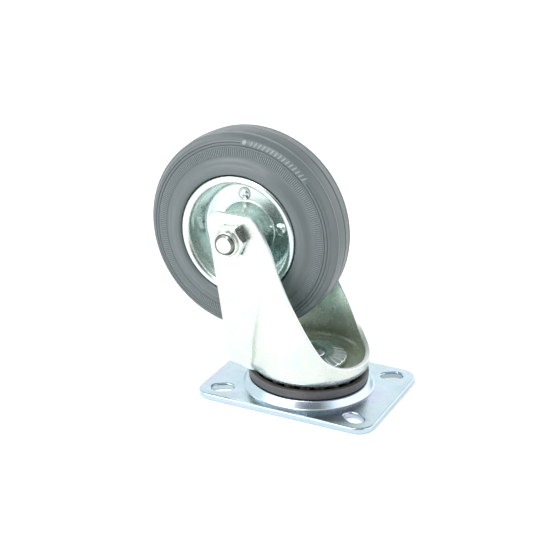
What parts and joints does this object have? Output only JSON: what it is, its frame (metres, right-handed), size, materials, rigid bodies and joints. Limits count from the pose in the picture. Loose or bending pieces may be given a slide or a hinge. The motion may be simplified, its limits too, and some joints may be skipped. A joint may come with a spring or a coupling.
{
  "type": "swivel castor with a top plate",
  "caption": "Swivel castor with a slotted rectangular top plate, ball-raced swivel head, pressed steel fork and grey rubber-tyred wheel on a roller bearing.",
  "frame": {"origin": "where the swivel axis meets the mounting face, at the middle of the plate", "axes": "+Z from the mounting face towards the wheel, +X along the plate's long side and away from the axle, Y along the wheel's axle"},
  "size_m": [0.162, 0.09, 0.16],
  "materials": {
    "zinc_plate": "bright zinc plating, blue passivated, smooth with faint mottling",
    "zinc_fork": "bright zinc plating, satin, slightly green where it is pressed round",
    "zinc_rim": "bright zinc plating, glossy",
    "zinc_bright": "bright zinc plating on fasteners",
    "ball_steel": "hardened bearing steel, polished and lightly greased",
    "tyre_grey": "grey non-marking rubber, satin",
    "black_plastic": "black moulded plastic",
    "cage_plastic": "natural moulded plastic",
    "nylon": "natural nylon"
  },
  "bodies": {
    "plate_assembly": {"top_plate": "zinc_plate", "seal_ring": "black_plastic", "king_pin": "zinc_bright", "retaining_cup": "zinc_bright"},
    "load_ball_row": {"load_ball_01": "ball_steel", "load_ball_02": "ball_steel", "load_ball_03": "ball_steel", "load_ball_04": "ball_steel", "load_ball_05": "ball_steel", "load_ball_06": "ball_steel", "load_ball_07": "ball_steel", "load_ball_08": "ball_steel", "load_ball_09": "ball_steel", "load_ball_10": "ball_steel", "load_ball_11": "ball_steel", "load_ball_12": "ball_steel", "load_ball_13": "ball_steel", "load_ball_14": "ball_steel", "load_ball_15": "ball_steel", "load_ball_16": "ball_steel", "load_ball_17": "ball_steel", "load_ball_18": "ball_steel", "load_ball_19": "ball_steel", "load_ball_20": "ball_steel"},
    "lock_ball_row": {"lock_ball_01": "ball_steel", "lock_ball_02": "ball_steel", "lock_ball_03": "ball_steel", "lock_ball_04": "ball_steel", "lock_ball_05": "ball_steel", "lock_ball_06": "ball_steel", "lock_ball_07": "ball_steel", "lock_ball_08": "ball_steel", "lock_ball_09": "ball_steel", "lock_ball_10": "ball_steel"},
    "fork_assembly": {"fork": "zinc_fork", "axle_bolt": "zinc_bright", "axle_nut": "zinc_bright", "nut_insert": "nylon", "spacer_near": "zinc_bright", "spacer_far": "zinc_bright", "axle_sleeve": "ball_steel"},
    "roller_set": {"roller_cage": "cage_plastic", "roller_1": "ball_steel", "roller_2": "ball_steel", "roller_3": "ball_steel", "roller_4": "ball_steel", "roller_5": "ball_steel", "roller_6": "ball_steel", "roller_7": "ball_steel", "roller_8": "ball_steel"},
    "wheel": {"tyre": "tyre_grey", "rim_near": "zinc_rim", "rim_far": "zinc_rim", "rim_rivet_1": "zinc_rim", "rim_rivet_2": "zinc_rim", "rim_rivet_3": "zinc_rim", "rim_rivet_4": "zinc_rim", "hub_tube": "ball_steel"}
  },
  "joints": [
    {"name": "swivel", "type": "hinge", "parent": "plate_assembly", "child": "fork_assembly", "pos_m": [0, 0, 0], "axis": [0, 0, 1], "continuous": true},
    {"name": "load_row_orbit", "type": "hinge", "parent": "plate_assembly", "child": "load_ball_row", "pos_m": [0, 0, 0], "axis": [0, 0, 1], "continuous": true},
    {"name": "lock_row_orbit", "type": "hinge", "parent": "plate_assembly", "child": "lock_ball_row", "pos_m": [0, 0, 0], "axis": [0, 0, 1], "continuous": true},
    {"name": "wheel_spin", "type": "hinge", "parent": "fork_assembly", "child": "wheel", "pos_m": [-0.0425, 0, 0.0975], "axis": [0, 1, 0], "continuous": true},
    {"name": "roller_orbit", "type": "hinge", "parent": "fork_assembly", "child": "roller_set", "pos_m": [-0.0425, 0, 0.0975], "axis": [0, 1, 0], "continuous": true}
  ],
  "couplings": [
    {"joint": "load_row_orbit", "follows": "swivel", "ratio": 0.5},
    {"joint": "lock_row_orbit", "follows": "swivel", "ratio": 0.5},
    {"joint": "roller_orbit", "follows": "wheel_spin", "ratio": 0.592}
  ]
}
